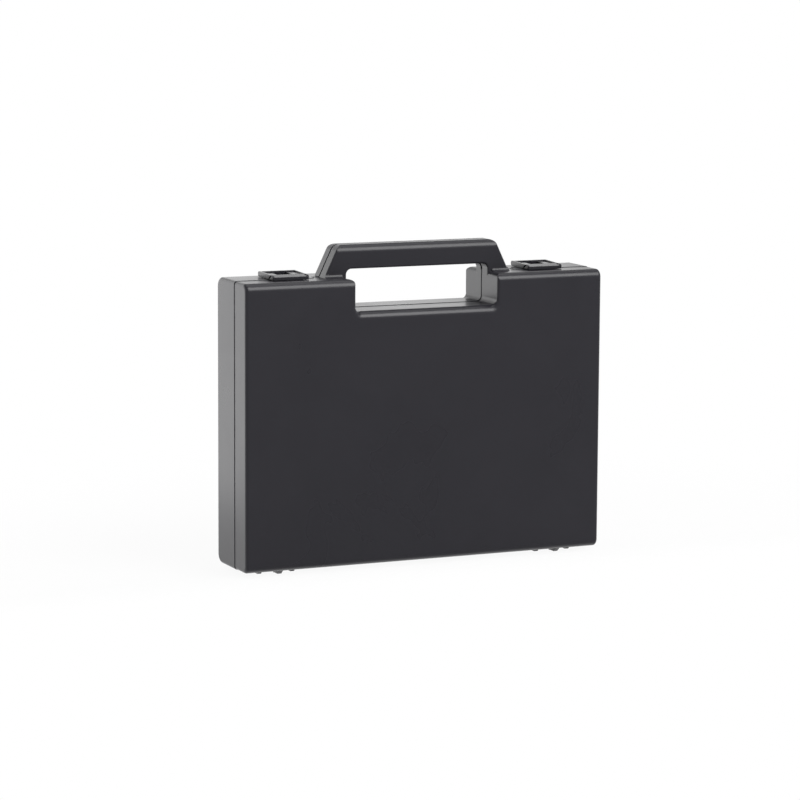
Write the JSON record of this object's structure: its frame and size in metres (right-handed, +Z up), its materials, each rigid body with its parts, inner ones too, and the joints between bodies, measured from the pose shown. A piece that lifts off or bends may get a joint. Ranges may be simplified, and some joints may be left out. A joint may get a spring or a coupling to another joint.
{
  "type": "plastic transit case",
  "caption": "Slim upright moulded plastic carrying case with a handle over a hand notch, flip latches on the top, a lid hinged at the bottom and foam inside.",
  "frame": {"origin": "under the middle of the case, on the surface that its bottom ribs stand on", "axes": "+X along the width, from the left end to the right end seen from the lid; +Y from the lid to the base; +Z up, from the hinges to the handle"},
  "size_m": [0.2734, 0.054, 0.2272],
  "materials": {
    "case_plastic": "fine moulded texture, charcoal",
    "latch_plastic": "smooth moulded, charcoal",
    "pin_steel": "drawn wire",
    "foam": "open-cell polyurethane foam, dark grey"
  },
  "bodies": {
    "base": {"base_shell": "case_plastic", "latch_pin_left": "pin_steel", "latch_pin_right": "pin_steel", "hinge_pin_left": "pin_steel", "hinge_pin_right": "pin_steel", "base_pad": "foam"},
    "lid": {"lid_shell": "case_plastic", "lid_pad": "foam"},
    "left_latch": {"latch_left": "latch_plastic"},
    "right_latch": {"latch_right": "latch_plastic"}
  },
  "joints": [
    {"name": "lid_hinge", "type": "hinge", "parent": "base", "child": "lid", "pos_m": [0, -0.0095, 0.0016], "axis": [1, 0, 0], "range_deg": [0, 180]},
    {"name": "left_latch_hinge", "type": "hinge", "parent": "base", "child": "left_latch", "pos_m": [-0.0977, 0.0123, 0.20715], "axis": [-1, 0, 0], "range_deg": [0, 110]},
    {"name": "right_latch_hinge", "type": "hinge", "parent": "base", "child": "right_latch", "pos_m": [0.0977, 0.0123, 0.20715], "axis": [-1, 0, 0], "range_deg": [0, 110]}
  ]
}
